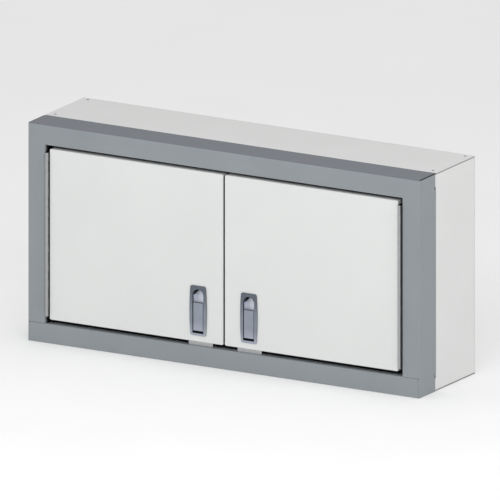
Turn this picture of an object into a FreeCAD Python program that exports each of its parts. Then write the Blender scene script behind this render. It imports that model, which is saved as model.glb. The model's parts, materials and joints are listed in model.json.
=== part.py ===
import FreeCAD, Part
import math
import os

# Hanging wall cabinet with two hinged doors, in millimetres.
# +X is right, +Y is towards the wall, +Z is up. The origin is the centre of the
# four wall-bolt holes, on the back plane. Left-hand pieces mirror right-hand ones.

Vector = FreeCAD.Vector
ORIGIN = Vector(0, 0, 0)
X_AXIS = Vector(1, 0, 0)
Y_AXIS = Vector(0, 1, 0)
Z_AXIS = Vector(0, 0, 1)
OVERSHOOT = 1.0

# Cabinet envelope
WIDTH = 1219.2
HEIGHT = 609.6
DEPTH = 300.0
RIGHT = WIDTH / 2
TOP = HEIGHT / 2
BOTTOM = -HEIGHT / 2
FRONT = -DEPTH

# Front frame, bent from sheet
FRAME_SHEET = 1.5
FRAME_BEND = 0.4
FRAME_DEPTH = 92.0
FRAME_BACK = FRONT + FRAME_DEPTH
STILE_FACE = 52.6
TOP_RAIL_FACE = 56.0
LOW_RAIL_FACE = 54.0
STOP_DEPTH = 30.0
STOP_REACH = 22.0
FRAME_RETURN = 25.0
OPEN_CORNER = 2.2
END_NOTCH_HEIGHT = 41.0
END_NOTCH_DEPTH = 5.3
RELIEF_HEIGHT = 8.0
RELIEF_DEPTH = 9.0
BUTT_SEAM = 0.7
MITRE_REACH = 1.7
SIDE_EDGE = 2.0
RAIL_CORNER = 4.5
GUSSET = 38.0
GUSSET_OFFSET = 9.0

# Body panels
PANEL_SHEET = 1.2
PANEL_BEND = 0.8
SIDE_BEND = 2.0
SIDE_FLANGE = 30.0
CROSS_FLANGE = 20.0
TAB_HEIGHT = 38.0
TAB_GAP = 0.6
BODY_FRONT = FRAME_BACK
BODY_BACK = -PANEL_SHEET

# Wall bolts and the rails that carry them
BOLT_SPACING_X = 812.8
BOLT_SPACING_Z = 508.0
BOLT_HOLE_RADIUS = 4.5
HANGING_RAIL_SHEET = 3.0
HANGING_RAIL_HEIGHT = 46.0
HANGING_RAIL_GAP = 2.0
HANGING_RAIL_CORNER = 4.0

# Doors
DOOR_SHEET = 1.2
DOOR_DEPTH = 25.0
DOOR_INNER_EDGE = 2.9
DOOR_OUTER_EDGE = 543.0
DOOR_BOTTOM = BOTTOM + 67.0
DOOR_TOP = BOTTOM + 544.0
DOOR_CORNER = 4.5
DOOR_BEND = 2.2
DOOR_LIP = 14.0
DOOR_BACK = FRONT + DOOR_DEPTH
LINER_SHEET = 1.0
LINER_GAP = 3.0
WINDOW_CORNER = 3.0
STIFFENER_X = 310.0
STIFFENER_FOOT = 35.0
STIFFENER_WALL = 18.0
STIFFENER_CREST = 14.0
STIFFENER_BEND = 1.0
STIFFENER_END_GAP = 12.0
EDGE_SEAL = 1.8
EDGE_SEAL_DEPTHS = (5.5, 22.0)

# Continuous hinges
HINGE_X = 549.4
HINGE_Y = FRONT - 4.0
HINGE_LENGTH = 457.2
HINGE_BOTTOM = BOTTOM + 76.4
KNUCKLES = 18
KNUCKLE_RADIUS = 4.4
PIN_RADIUS = 2.7
PIN_CLEARANCE = 0.05
KNUCKLE_GAP = 0.4
LEAF_SHEET = 1.2
LEAF_BEND = 0.8
LEAF_NECK = 4.5
LEAF_JOGGLE = 3.0
FRAME_LEAF_DEPTH = 29.0
DOOR_LEAF_DEPTH = 26.0

# Latches, one per door, below the middle of the inner edge
LATCH_X = 79.0
PLATE_HALF_WIDTH = 27.0
PLATE_END_HALF_WIDTH = 24.0
PLATE_BOTTOM = BOTTOM + 84.4
PLATE_TOP = BOTTOM + 223.6
PLATE_CORNER = 6.0
PLATE_PROUD = 3.0
PLATE_RIM = 1.4
GASKET = 0.8
GASKET_INSET = 0.5
GASKET_HOLE_GAP = 0.1
RECESS_HALF_WIDTH = 17.0
RECESS_BOTTOM = BOTTOM + 91.0
RECESS_TOP = BOTTOM + 213.6
CUP_WALL = 1.8
CUP_FLOOR = 10.0
CUTOUT_GAP = 0.3
BOSS_GAP = 0.3
CLAMP_SHEET = 1.5
CLAMP_HALF_WIDTH = 24.5
CLAMP_CORNER = 4.0
CLAMP_GAP = 0.2
SCOOP_BOTTOM = BOTTOM + 166.0
SCOOP_SHALLOW = 11.0
SCOOP_DEEP = 17.5
SCOOP_BACK = 19.5
PADDLE_HALF_WIDTH = 15.0
PADDLE_BOTTOM = BOTTOM + 97.5
PADDLE_TOP = BOTTOM + 175.5
PADDLE_SHEET = 2.5
PADDLE_SINK = 1.0
PADDLE_CORNER = 1.0
PADDLE_RIM = 0.7
PIVOT_DEPTH = 6.0
PIVOT_Z = BOTTOM + 104.0
PIVOT_RADIUS = 2.0
BARREL_RADIUS = 3.6
ARM_LENGTH = 12.0
ARM_REST_ANGLE = 30.0
ARM_THICKNESS = 3.0
ARM_NECK = 2.4
ARM_TIP_RADIUS = 2.5
ARM_PLAY = 0.4
ARM_SIDE_PLAY = 0.6
BOLT_HALF_WIDTH = 6.0
BOLT_DEPTHS = (14.4, 20.4)
BOLT_MIDDLE = FRONT + sum(BOLT_DEPTHS) / 2
BOLT_TIP = BOTTOM + 65.8
BOLT_SHOULDER = BOTTOM + 127.0
BOLT_BEVEL = 5.0
STEM_RADIUS = 2.2
SLIDE_CLEARANCE = 0.4
GUIDE_WALL = 1.5
GUIDE_HALF_WIDTH = 14.0
GUIDE_STRIP = 4.0
GUIDE_BOTTOM = BOTTOM + 74.0
SLEEVE_HEIGHT = 8.0
SPRING_RADIUS = 3.3
SPRING_WIRE = 0.45
SPRING_TURNS = 8
SPRING_TOP = BOTTOM + 151.0

# Strikes on the bottom rail
STRIKE_X = 76.0
STRIKE_WIDTH = 75.0
STRIKE_THICKNESS = 2.5
STRIKE_DEPTHS = (8.0, 25.0)
STRIKE_LIP = 8.5
STRIKE_CORNER = 3.0
STRIKE_SCREW_OFFSET = 30.0
STRIKE_SCREW_DEPTH = 17.0
STRIKE_SCREW_RADIUS = 1.65
STRIKE_SCREW_LENGTH = 9.0
STRIKE_SCREW_REACH = 20.0
SINK_RADIUS = 3.3
SINK_DEPTH = 1.6

# Seal round the opening
SEAL_THICKNESS = 4.6
SEAL_WIDTH = 20.0
SEAL_LINING = 2.0
SEAL_LINING_START = 8.0
SEAL_GAP = 0.2
SEAL_CORNER = 3.0
SEAL_STRIKE_GAP = 0.5

# Shelf and its supports
SHELF_HEIGHT = 22.0
SHELF_SHEET = 1.2
SHELF_Z = 6.0
SHELF_FRONT = BODY_FRONT + 5.0
SHELF_BACK = BODY_BACK - 5.0
SHELF_SIDE_GAP = 1.5
SHELF_HEM = 12.0
PILASTER_SHEET = 1.2
PILASTER_DEPTH = 6.0
PILASTER_WIDTH = 18.0
PILASTER_HALF_HEIGHT = 255.0
PILASTER_SLOT = (10.0, 3.5)
PILASTER_PITCH = 25.4
PILASTER_END = 15.0
SLOT_END = 8.0
CLIP_SHEET = 1.5
CLIP_SEAT = 16.0
CLIP_FOOT = 6.0
CLIP_HOOK = (-1.2, 0.3)
CLIP_HOOK_REACH = 2.0
CLIP_SLOT_Z = SHELF_Z - 14.0
PILASTER_YS = (FRAME_BACK + 40.0, -45.0)


def box(x, y, z):
    """Block between the two values of each pair."""
    return Part.makeBox(x[1] - x[0], y[1] - y[0], z[1] - z[0], Vector(x[0], y[0], z[0]))


def rod(start, axis, length, radius):
    """Round bar from a point along an axis."""
    return Part.makeCylinder(radius, length, start, axis)


def fuse(shapes):
    """One clean solid from shapes that touch or overlap."""
    return shapes[0].multiFuse(shapes[1:]).removeSplitter()


def mirrored(shape):
    """Copy of a right-hand shape on the left."""
    return shape.mirror(ORIGIN, X_AXIS)


def upside_down(shape):
    """Copy of a shape mirrored from the top half to the bottom half."""
    return shape.mirror(ORIGIN, Z_AXIS)


def cut_both_sides(shape, tools):
    """Cut tools and their left-hand images."""
    return shape.cut(tools + [mirrored(tool) for tool in tools])


def prism(points, along):
    """Straight-sided block from a closed outline drawn out along a vector."""
    corners = [Vector(*point) for point in points]
    return Part.Face(Part.makePolygon(corners + corners[:1])).extrude(along)


def rounded_path(corners, radii):
    """Edges of an open path whose inner corners are rounded."""
    edges = []
    start = corners[0]
    for before, corner, after, radius in zip(corners, corners[1:], corners[2:], radii):
        incoming = (corner - before).normalize()
        outgoing = (after - corner).normalize()
        half_turn = incoming.getAngle(outgoing) / 2
        setback = radius * math.tan(half_turn)
        bisector = (outgoing - incoming).normalize()
        first = corner - incoming * setback
        middle = corner + bisector * (radius / math.cos(half_turn) - radius)
        last = corner + outgoing * setback
        edges.append(Part.LineSegment(start, first).toShape())
        edges.append(Part.Arc(first, middle, last).toShape())
        start = last
    edges.append(Part.LineSegment(start, corners[-1]).toShape())
    return edges


def bent_sheet(points, thickness, bend, along, metal_side):
    """Bent sheet drawn out along a vector.

    The points follow one skin. With the vector towards the eye the metal lies to
    the left of the path, or to its right where metal_side is -1. The bend radius
    is the inner one."""
    skin = [Vector(*point) for point in points]
    facing = Vector(along).normalize()
    directions = [(end - start).normalize() for start, end in zip(skin, skin[1:])]
    steps = [facing.cross(direction) * metal_side * thickness for direction in directions]
    back = [skin[0] + steps[0]]
    skin_radii = []
    back_radii = []
    for index in range(1, len(directions)):
        both = steps[index - 1] + steps[index]
        spread = 1 + directions[index - 1].dot(directions[index])
        back.append(skin[index] + both * (1 / spread))
        towards_metal = steps[index - 1].dot(directions[index]) > 0
        skin_radii.append(bend + thickness if towards_metal else bend)
        back_radii.append(bend if towards_metal else bend + thickness)
    back.append(skin[-1] + steps[-1])
    edges = rounded_path(skin, skin_radii) + rounded_path(back, back_radii)
    edges.append(Part.LineSegment(skin[0], back[0]).toShape())
    edges.append(Part.LineSegment(skin[-1], back[-1]).toShape())
    return Part.Face(Part.Wire(Part.__sortEdges__(edges))).extrude(along)


def rounded_block(x, y, z, axis, corner, face=None, rim=0.0):
    """Block with its four edges along the axis rounded, and the rim of one face."""
    block = box(x, y, z)
    upright = [edge for edge in block.Edges if abs(edge.tangentAt(0).dot(axis)) > 0.5]
    block = block.makeFillet(corner, upright)
    if face is None:
        return block
    rim_edges = [
        edge
        for edge in block.Edges
        if all(abs(vertex.Point.dot(axis) - face) < 0.001 for vertex in edge.Vertexes)
    ]
    return block.makeFillet(rim, rim_edges)


def fasteners(points, axis, head_radius, head_height, shank_radius, length):
    """Domed fasteners with their heads on the points and shanks along the axis."""
    head = rod(ORIGIN, Z_AXIS * -1, head_height, head_radius)
    crown = [edge for edge in head.Edges if edge.BoundBox.ZMax < -head_height / 2]
    head = head.makeFillet(head_height * 0.7, crown)
    one = head.fuse(rod(ORIGIN, Z_AXIS, length, shank_radius)).removeSplitter()
    turn = FreeCAD.Rotation(Z_AXIS, axis)
    pieces = []
    for point in points:
        piece = one.copy()
        piece.Placement = FreeCAD.Placement(point, turn)
        pieces.append(piece)
    return Part.makeCompound(pieces)


def drilled(shape, points, axis, radius, length):
    """Shape with a round hole from each point along the axis."""
    return shape.cut([rod(point, axis, length, radius) for point in points])


def spaced(first, last, count):
    """Evenly spaced values from first to last."""
    return [first + (last - first) * index / (count - 1) for index in range(count)]


def both_signs(points):
    """Points and their images on the left."""
    return points + [Vector(-point.x, point.y, point.z) for point in points]


def save(name, shape):
    """Write one sub-part."""
    shape.exportStep("parts/" + name + ".step")


def save_pair(name, shape):
    """Write a right-hand sub-part and its left-hand image."""
    save(name.format(side="right"), shape)
    save(name.format(side="left"), mirrored(shape))


# Fasteners
FASTENER_CLEARANCE = 0.05
RIVET_SHANK = 2.0
RIVET_LENGTH = 4.5
FRAME_RIVET_HEAD = 3.6
FRAME_RIVET_CROWN = 1.1
HINGE_RIVET_HEAD = 2.8
HINGE_RIVET_CROWN = 0.9
RIVET_HEAD_ROOM = 1.2
FLUSH_HEAD = 0.5
BACK_HEAD_RADIUS = 2.6
LID_HEAD_RADIUS = 3.7
BOSS_RADIUS = 2.3
LATCH_SCREW_RADIUS = 1.5
LATCH_SCREW_HEAD = 2.6
LATCH_SCREW_CROWN = 2.0
LATCH_SCREW_PLACES = ((21.6, 97.0), (19.2, 210.5))

# Fastener positions shared by the pieces that they hold together
LID_POINTS = both_signs([
    Vector(RIGHT - 21.0, FRONT + 111.0, TOP),
    Vector(RIGHT - 21.0, FRONT + 285.0, TOP),
])
FRAME_RIVET_POINTS = both_signs(
    [Vector(RIGHT - 16.0, BODY_FRONT + PANEL_SHEET, z) for z in spaced(-200.0, 200.0, 5)]
    + [Vector(x, BODY_FRONT + PANEL_SHEET, TOP - 13.0) for x in spaced(70.0, 540.0, 5)]
    + [Vector(x, BODY_FRONT + PANEL_SHEET, BOTTOM + 13.0) for x in spaced(70.0, 540.0, 5)]
)
BACK_RIVET_POINTS = both_signs(
    [Vector(RIGHT - 16.0, 0, z) for z in spaced(-240.0, 240.0, 4)]
    + [Vector(x, 0, TOP - 13.0) for x in spaced(70.0, 540.0, 5)]
    + [Vector(x, 0, BOTTOM + 13.0) for x in spaced(70.0, 540.0, 5)]
)
WALL_BOLT_POINTS = both_signs([
    Vector(BOLT_SPACING_X / 2, 0, BOLT_SPACING_Z / 2),
    Vector(BOLT_SPACING_X / 2, 0, -BOLT_SPACING_Z / 2),
])
FRAME_LEAF_POINTS = [
    Vector(RIGHT - STILE_FACE - LEAF_SHEET, FRONT + 15.0, z)
    for z in spaced(HINGE_BOTTOM + 25.0, HINGE_BOTTOM + HINGE_LENGTH - 25.0, 8)
]
DOOR_LEAF_POINTS = [
    Vector(DOOR_OUTER_EDGE + LEAF_SHEET, FRONT + 12.0, z)
    for z in spaced(HINGE_BOTTOM + 40.0, HINGE_BOTTOM + HINGE_LENGTH - 40.0, 8)
]


def through_rivets(shape, points, start_axis, radius=RIVET_SHANK):
    """Shape drilled for rivets that pass both ways through each point."""
    starts = [point - start_axis * RIVET_LENGTH * 2 for point in points]
    return drilled(shape, starts, start_axis, radius + FASTENER_CLEARANCE, RIVET_LENGTH * 4)


# ---------------------------------------------------------------- front frame


def mitre_wedge(below, inset, depth):
    """Wedge on one side of the top right corner's mitre line, from the front back."""
    corner = (RIGHT, FRONT - OVERSHOOT, TOP)
    inner_x = RIGHT - STILE_FACE * MITRE_REACH
    inner = (inner_x, FRONT - OVERSHOOT, TOP - TOP_RAIL_FACE * MITRE_REACH)
    if below:
        third = (RIGHT + OVERSHOOT, FRONT - OVERSHOOT, inner[2])
        fourth = (RIGHT + OVERSHOOT, FRONT - OVERSHOOT, TOP)
    else:
        third = (inner[0], FRONT - OVERSHOOT, TOP + OVERSHOOT)
        fourth = (RIGHT, FRONT - OVERSHOOT, TOP + OVERSHOOT)
    wedge = prism([corner, inner, third, fourth], Y_AXIS * (depth + OVERSHOOT))
    keep_out = box((RIGHT - inset, RIGHT + 2), (FRONT - 2, FRONT + depth + 2), (0, TOP + 2))
    return wedge.cut(keep_out) if inset else wedge


def frame_stile():
    """Right stile: rear return, outer flange, face and inner return in one sheet."""
    inner = RIGHT - STILE_FACE
    stop = FRONT + STOP_DEPTH
    outline = [
        (RIGHT - FRAME_RETURN, FRAME_BACK),
        (RIGHT, FRAME_BACK),
        (RIGHT, FRONT),
        (inner, FRONT),
        (inner, stop),
    ]
    points = [(x, y, BOTTOM) for x, y in outline]
    stile = bent_sheet(points, FRAME_SHEET, FRAME_BEND, Z_AXIS * HEIGHT, -1)
    foot = box(
        (inner - OVERSHOOT, RIGHT - SIDE_EDGE),
        (FRONT - OVERSHOOT, stop + OVERSHOOT),
        (BOTTOM - OVERSHOOT, BOTTOM + LOW_RAIL_FACE + BUTT_SEAM),
    )
    notch = box(
        (RIGHT - FRAME_RETURN - OVERSHOOT, RIGHT + OVERSHOOT),
        (FRAME_BACK - END_NOTCH_DEPTH, FRAME_BACK + OVERSHOOT),
        (TOP - END_NOTCH_HEIGHT, TOP + OVERSHOOT),
    )
    relief = box(
        (RIGHT - FRAME_SHEET - FRAME_BEND, RIGHT + OVERSHOOT),
        (FRAME_BACK - RELIEF_DEPTH, FRAME_BACK + OVERSHOOT),
        (TOP - TAB_HEIGHT - RELIEF_HEIGHT, TOP - TAB_HEIGHT),
    )
    ends = [notch, relief]
    ends += [upside_down(cut) for cut in ends]
    face_mitre = mitre_wedge(False, 0, OPEN_CORNER)
    return_mitre = mitre_wedge(False, OPEN_CORNER, STOP_DEPTH)
    stile = stile.cut([foot, face_mitre, return_mitre] + ends)
    stile = through_rivets(stile, FRAME_RIVET_POINTS, Y_AXIS)
    return through_rivets(stile, FRAME_LEAF_POINTS, X_AXIS)


def rail_sheet(half_length, face, metal_side, height_sign):
    """Rail section drawn out along X, with its face at the top or the bottom."""
    outer = TOP * height_sign
    inner = outer - face * height_sign
    outline = [
        (FRAME_BACK, outer - FRAME_RETURN * height_sign),
        (FRAME_BACK, outer),
        (FRONT, outer),
        (FRONT, inner),
        (FRONT + STOP_DEPTH, inner),
    ]
    points = [(-half_length, y, z) for y, z in outline]
    return bent_sheet(points, FRAME_SHEET, FRAME_BEND, X_AXIS * 2 * half_length, metal_side)


def return_end_cut():
    """Block that shortens the top rail's rear return next to the stile."""
    return box(
        (RIGHT - FRAME_RETURN - 2, RIGHT + OVERSHOOT),
        (FRAME_BACK - FRAME_SHEET - FRAME_BEND, FRAME_BACK + OVERSHOOT),
        (TOP - FRAME_RETURN - OVERSHOOT, TOP - FRAME_SHEET - FRAME_BEND),
    )


def frame_top_rail():
    """Top rail, mitred to the stiles in front and open at its corners behind."""
    rail = rail_sheet(RIGHT, TOP_RAIL_FACE, 1, 1)
    open_corner = box(
        (RIGHT - OPEN_CORNER, RIGHT + OVERSHOOT),
        (FRONT + OPEN_CORNER, FRAME_BACK + OVERSHOOT),
        (TOP - FRAME_RETURN - OVERSHOOT, TOP + OVERSHOOT),
    )
    mitre = mitre_wedge(True, 0, STOP_DEPTH)
    rail = cut_both_sides(rail, [open_corner, mitre, return_end_cut()])
    return through_rivets(rail, FRAME_RIVET_POINTS, Y_AXIS)


def frame_bottom_rail():
    """Bottom rail, butting between the stiles' side flanges, with rounded shoulders."""
    half_length = RIGHT - SIDE_EDGE - BUTT_SEAM
    face_top = BOTTOM + LOW_RAIL_FACE
    rail = rail_sheet(half_length, LOW_RAIL_FACE, -1, -1)
    shoulder = box(
        (half_length - RAIL_CORNER, half_length + OVERSHOOT),
        (FRONT - OVERSHOOT, FRONT + RAIL_CORNER),
        (face_top - RAIL_CORNER, face_top + OVERSHOOT),
    )
    centre = Vector(half_length - RAIL_CORNER, FRONT - 2, face_top - RAIL_CORNER)
    shoulder = shoulder.cut(rod(centre, Y_AXIS, RAIL_CORNER * 4, RAIL_CORNER))
    rear_corner = box(
        (RIGHT - FRAME_RETURN - 2, RIGHT + OVERSHOOT),
        (FRAME_BACK - FRAME_SHEET - FRAME_BEND, FRAME_BACK + OVERSHOOT),
        (BOTTOM - OVERSHOOT, BOTTOM + FRAME_RETURN + OVERSHOOT),
    )
    rail = cut_both_sides(rail, [shoulder, rear_corner])
    rail = through_rivets(rail, FRAME_RIVET_POINTS, Y_AXIS)
    return drilled(
        rail,
        strike_screw_points(),
        Z_AXIS * -1,
        STRIKE_SCREW_RADIUS + 2 * FASTENER_CLEARANCE,
        STRIKE_SCREW_REACH,
    )


def frame_stops():
    """Four flat strips behind the opening's returns that carry the seal."""
    y = (FRONT + STOP_DEPTH, FRONT + STOP_DEPTH + FRAME_SHEET)
    inner_x = RIGHT - STILE_FACE
    low = BOTTOM + LOW_RAIL_FACE
    high = TOP - TOP_RAIL_FACE
    reach = inner_x + FRAME_SHEET
    top_strip = box((-reach, reach), y, (high - STOP_REACH, high + FRAME_SHEET))
    low_strip = box((-reach, reach), y, (low - FRAME_SHEET, low + STOP_REACH))
    side_strip = box((inner_x - STOP_REACH, reach), y, (low + STOP_REACH, high - STOP_REACH))
    return Part.makeCompound([top_strip, low_strip, side_strip, mirrored(side_strip)])


def frame_gussets():
    """Flat plates behind the four corner joints of the face."""
    inner = RIGHT - GUSSET_OFFSET - GUSSET
    x = (inner, inner + GUSSET)
    y = (FRONT + FRAME_SHEET, FRONT + 2 * FRAME_SHEET)
    upper = box(x, y, (TOP - GUSSET_OFFSET - GUSSET, TOP - GUSSET_OFFSET))
    face_top = BOTTOM + LOW_RAIL_FACE
    lower = box(x, y, (face_top - GUSSET / 2, face_top - FRAME_SHEET - FRAME_BEND))
    right = [upper, lower]
    return Part.makeCompound(right + [mirrored(piece) for piece in right])


# ---------------------------------------------------------------- body panels


def body_side():
    """Right side panel: a shallow pan with flanges all round, and two front tabs."""
    x = (RIGHT - SIDE_FLANGE, RIGHT)
    y = (BODY_FRONT, BODY_BACK)
    z = (BOTTOM + PANEL_SHEET, TOP - PANEL_SHEET)
    outer_bend = SIDE_BEND + PANEL_SHEET
    outside = rounded_block(x, y, z, X_AXIS, outer_bend, RIGHT, outer_bend)
    inside = rounded_block(
        (x[0] - OVERSHOOT, RIGHT - PANEL_SHEET),
        (y[0] + PANEL_SHEET, y[1] - PANEL_SHEET),
        (z[0] + PANEL_SHEET, z[1] - PANEL_SHEET),
        X_AXIS,
        SIDE_BEND,
        RIGHT - PANEL_SHEET,
        SIDE_BEND,
    )
    tab = box(
        (RIGHT - PANEL_SHEET, RIGHT),
        (FRAME_BACK - END_NOTCH_DEPTH + TAB_GAP, BODY_FRONT + 2 * outer_bend),
        (TOP - TAB_HEIGHT, TOP - 2 * PANEL_SHEET),
    )
    panel = fuse([outside.cut(inside), tab, upside_down(tab)])
    panel = through_rivets(panel, FRAME_RIVET_POINTS, Y_AXIS)
    panel = through_rivets(panel, BACK_RIVET_POINTS, Y_AXIS)
    panel = through_rivets(panel, LID_POINTS, Z_AXIS)
    return through_rivets(panel, lower_lid_points(), Z_AXIS)


def lower_lid_points():
    """Places of the bottom panel's fasteners."""
    return [Vector(point.x, point.y, BOTTOM) for point in LID_POINTS]


def body_lid():
    """Top panel: flat over the sides, with a front and a rear flange turned down."""
    half_flange = RIGHT - SIDE_FLANGE - 1.0
    outline = [
        (BODY_FRONT, TOP - CROSS_FLANGE),
        (BODY_FRONT, TOP),
        (BODY_BACK, TOP),
        (BODY_BACK, TOP - CROSS_FLANGE),
    ]
    points = [(-half_flange, y, z) for y, z in outline]
    middle = bent_sheet(points, PANEL_SHEET, PANEL_BEND, X_AXIS * 2 * half_flange, -1)
    end = box(
        (half_flange, RIGHT),
        (BODY_FRONT, BODY_BACK),
        (TOP - PANEL_SHEET, TOP),
    )
    lid = fuse([middle, end, mirrored(end)])
    lid = flush_seats(lid, LID_POINTS, Z_AXIS * -1, LID_HEAD_RADIUS)
    lid = through_rivets(lid, LID_POINTS, Z_AXIS)
    lid = through_rivets(lid, FRAME_RIVET_POINTS, Y_AXIS)
    return through_rivets(lid, BACK_RIVET_POINTS, Y_AXIS)


def back_panel():
    """Flat back sheet with the four wall-bolt holes."""
    panel = box((-RIGHT, RIGHT), (BODY_BACK, 0), (BOTTOM, TOP))
    panel = flush_seats(panel, BACK_RIVET_POINTS, Y_AXIS * -1, BACK_HEAD_RADIUS)
    panel = through_rivets(panel, BACK_RIVET_POINTS, Y_AXIS)
    starts = [point - Y_AXIS * 10 for point in WALL_BOLT_POINTS]
    return drilled(panel, starts, Y_AXIS, BOLT_HOLE_RADIUS, 20.0)


def hanging_rail():
    """Upper bar inside the back that the wall bolts pass through."""
    reach = RIGHT - SIDE_FLANGE - HANGING_RAIL_GAP
    middle = BOLT_SPACING_Z / 2
    rail = rounded_block(
        (-reach, reach),
        (BODY_BACK - HANGING_RAIL_SHEET, BODY_BACK),
        (middle - HANGING_RAIL_HEIGHT / 2, middle + HANGING_RAIL_HEIGHT / 2),
        Y_AXIS,
        HANGING_RAIL_CORNER,
    )
    starts = [point - Y_AXIS * 10 for point in WALL_BOLT_POINTS]
    return drilled(rail, starts, Y_AXIS, BOLT_HOLE_RADIUS, 20.0)


# ---------------------------------------------------------------- shelf


def shelf():
    """Shelf with hemmed front and rear edges."""
    reach = RIGHT - PANEL_SHEET - PILASTER_DEPTH - SHELF_SIDE_GAP
    outline = [
        (SHELF_FRONT + SHELF_HEM, SHELF_Z - SHELF_HEIGHT),
        (SHELF_FRONT, SHELF_Z - SHELF_HEIGHT),
        (SHELF_FRONT, SHELF_Z),
        (SHELF_BACK, SHELF_Z),
        (SHELF_BACK, SHELF_Z - SHELF_HEIGHT),
        (SHELF_BACK - SHELF_HEM, SHELF_Z - SHELF_HEIGHT),
    ]
    points = [(-reach, y, z) for y, z in outline]
    return bent_sheet(points, SHELF_SHEET, PANEL_BEND, X_AXIS * 2 * reach, -1)


def pilaster_slots():
    """Heights of the slots in a pilaster."""
    count = int(2 * (PILASTER_HALF_HEIGHT - PILASTER_END) / PILASTER_PITCH)
    reach = PILASTER_PITCH * count / 2
    return spaced(CLIP_SLOT_Z - reach, CLIP_SLOT_Z + reach, count + 1)


def pilasters():
    """Four slotted channels on the inner faces of the side panels."""
    pieces = []
    wall = RIGHT - PANEL_SHEET
    for middle in PILASTER_YS:
        near = middle - PILASTER_WIDTH / 2
        far = middle + PILASTER_WIDTH / 2
        outline = [
            (wall, near),
            (wall - PILASTER_DEPTH, near),
            (wall - PILASTER_DEPTH, far),
            (wall, far),
        ]
        points = [(x, y, -PILASTER_HALF_HEIGHT) for x, y in outline]
        rise = Z_AXIS * 2 * PILASTER_HALF_HEIGHT
        strip = bent_sheet(points, PILASTER_SHEET, PANEL_BEND, rise, -1)
        width, height = PILASTER_SLOT
        slots = [
            box(
                (wall - PILASTER_DEPTH - 1, wall - PILASTER_DEPTH + 2),
                (middle - width / 2, middle + width / 2),
                (z - height / 2, z + height / 2),
            )
            for z in pilaster_slots()
            if abs(z) < PILASTER_HALF_HEIGHT - SLOT_END
        ]
        strip = strip.cut(slots)
        pieces += [strip, mirrored(strip)]
    return Part.makeCompound(pieces)


def shelf_clips():
    """Four bent clips, hooked into the pilasters, that carry the shelf."""
    face = RIGHT - PANEL_SHEET - PILASTER_DEPTH
    seat_z = SHELF_Z - SHELF_SHEET
    half_width = PILASTER_SLOT[0] / 2 - 0.5
    pieces = []
    for middle in PILASTER_YS:
        y = (middle - half_width, middle + half_width)
        back = box((face - CLIP_SHEET, face), y, (CLIP_SLOT_Z - CLIP_FOOT, seat_z))
        seat = box((face - CLIP_SEAT, face), y, (seat_z - CLIP_SHEET, seat_z))
        hook_z = (CLIP_SLOT_Z + CLIP_HOOK[0], CLIP_SLOT_Z + CLIP_HOOK[1])
        hook = box((face - CLIP_SHEET, face + CLIP_HOOK_REACH), y, hook_z)
        clip = fuse([back, seat, hook])
        pieces += [clip, mirrored(clip)]
    return Part.makeCompound(pieces)


# ---------------------------------------------------------------- strikes and seal


def strike_screw_points():
    """Places of the four screws that hold the strikes."""
    top = BOTTOM + LOW_RAIL_FACE + STRIKE_THICKNESS
    return both_signs([
        Vector(STRIKE_X + side * STRIKE_SCREW_OFFSET, FRONT + STRIKE_SCREW_DEPTH, top)
        for side in (-1, 1)
    ])


def strike_block(grow):
    """Right strike's outline as a block, grown on its sides."""
    face_top = BOTTOM + LOW_RAIL_FACE
    return box(
        (STRIKE_X - STRIKE_WIDTH / 2 - grow, STRIKE_X + STRIKE_WIDTH / 2 + grow),
        (FRONT + STRIKE_DEPTHS[0] - grow, FRONT + STRIKE_DEPTHS[1] + grow),
        (face_top, face_top + STRIKE_THICKNESS),
    )


def strike():
    """Angle under the right latch: slotted below, with a lip in front of the slot."""
    leg = strike_block(0)
    rear = FRONT + STRIKE_DEPTHS[1] - STRIKE_CORNER
    rear_corners = [
        edge
        for edge in leg.Edges
        if abs(edge.tangentAt(0).dot(Z_AXIS)) > 0.5 and edge.BoundBox.YMin > rear
    ]
    leg = leg.makeFillet(STRIKE_CORNER, rear_corners)
    face_top = BOTTOM + LOW_RAIL_FACE
    front = FRONT + STRIKE_DEPTHS[0]
    lip = box(
        (STRIKE_X - STRIKE_WIDTH / 2, STRIKE_X + STRIKE_WIDTH / 2),
        (front, front + STRIKE_THICKNESS),
        (face_top, face_top + STRIKE_THICKNESS + STRIKE_LIP),
    )
    slot = box(
        (LATCH_X - BOLT_HALF_WIDTH - 2, LATCH_X + BOLT_HALF_WIDTH + 2),
        (FRONT + BOLT_DEPTHS[0] - 1, FRONT + BOLT_DEPTHS[1] + 1),
        (BOTTOM, 0),
    )
    tops = strike_screw_points()
    hole_radius = STRIKE_SCREW_RADIUS + FASTENER_CLEARANCE
    plate = fuse([leg, lip]).cut(slot)
    plate = drilled(plate, tops, Z_AXIS * -1, hole_radius, 2 * STRIKE_THICKNESS)
    sinks = [
        Part.makeCone(SINK_RADIUS, hole_radius, SINK_DEPTH, point, Z_AXIS * -1) for point in tops
    ]
    return plate.cut(sinks)


def strike_screws():
    """Countersunk screws of both strikes."""
    pieces = []
    for point in strike_screw_points():
        head = Part.makeCone(
            SINK_RADIUS - 2 * FASTENER_CLEARANCE,
            STRIKE_SCREW_RADIUS,
            SINK_DEPTH - FASTENER_CLEARANCE,
            point,
            Z_AXIS * -1,
        )
        shank = rod(point, Z_AXIS * -1, STRIKE_SCREW_LENGTH, STRIKE_SCREW_RADIUS)
        pieces.append(head.fuse(shank).removeSplitter())
    return Part.makeCompound(pieces)


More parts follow.
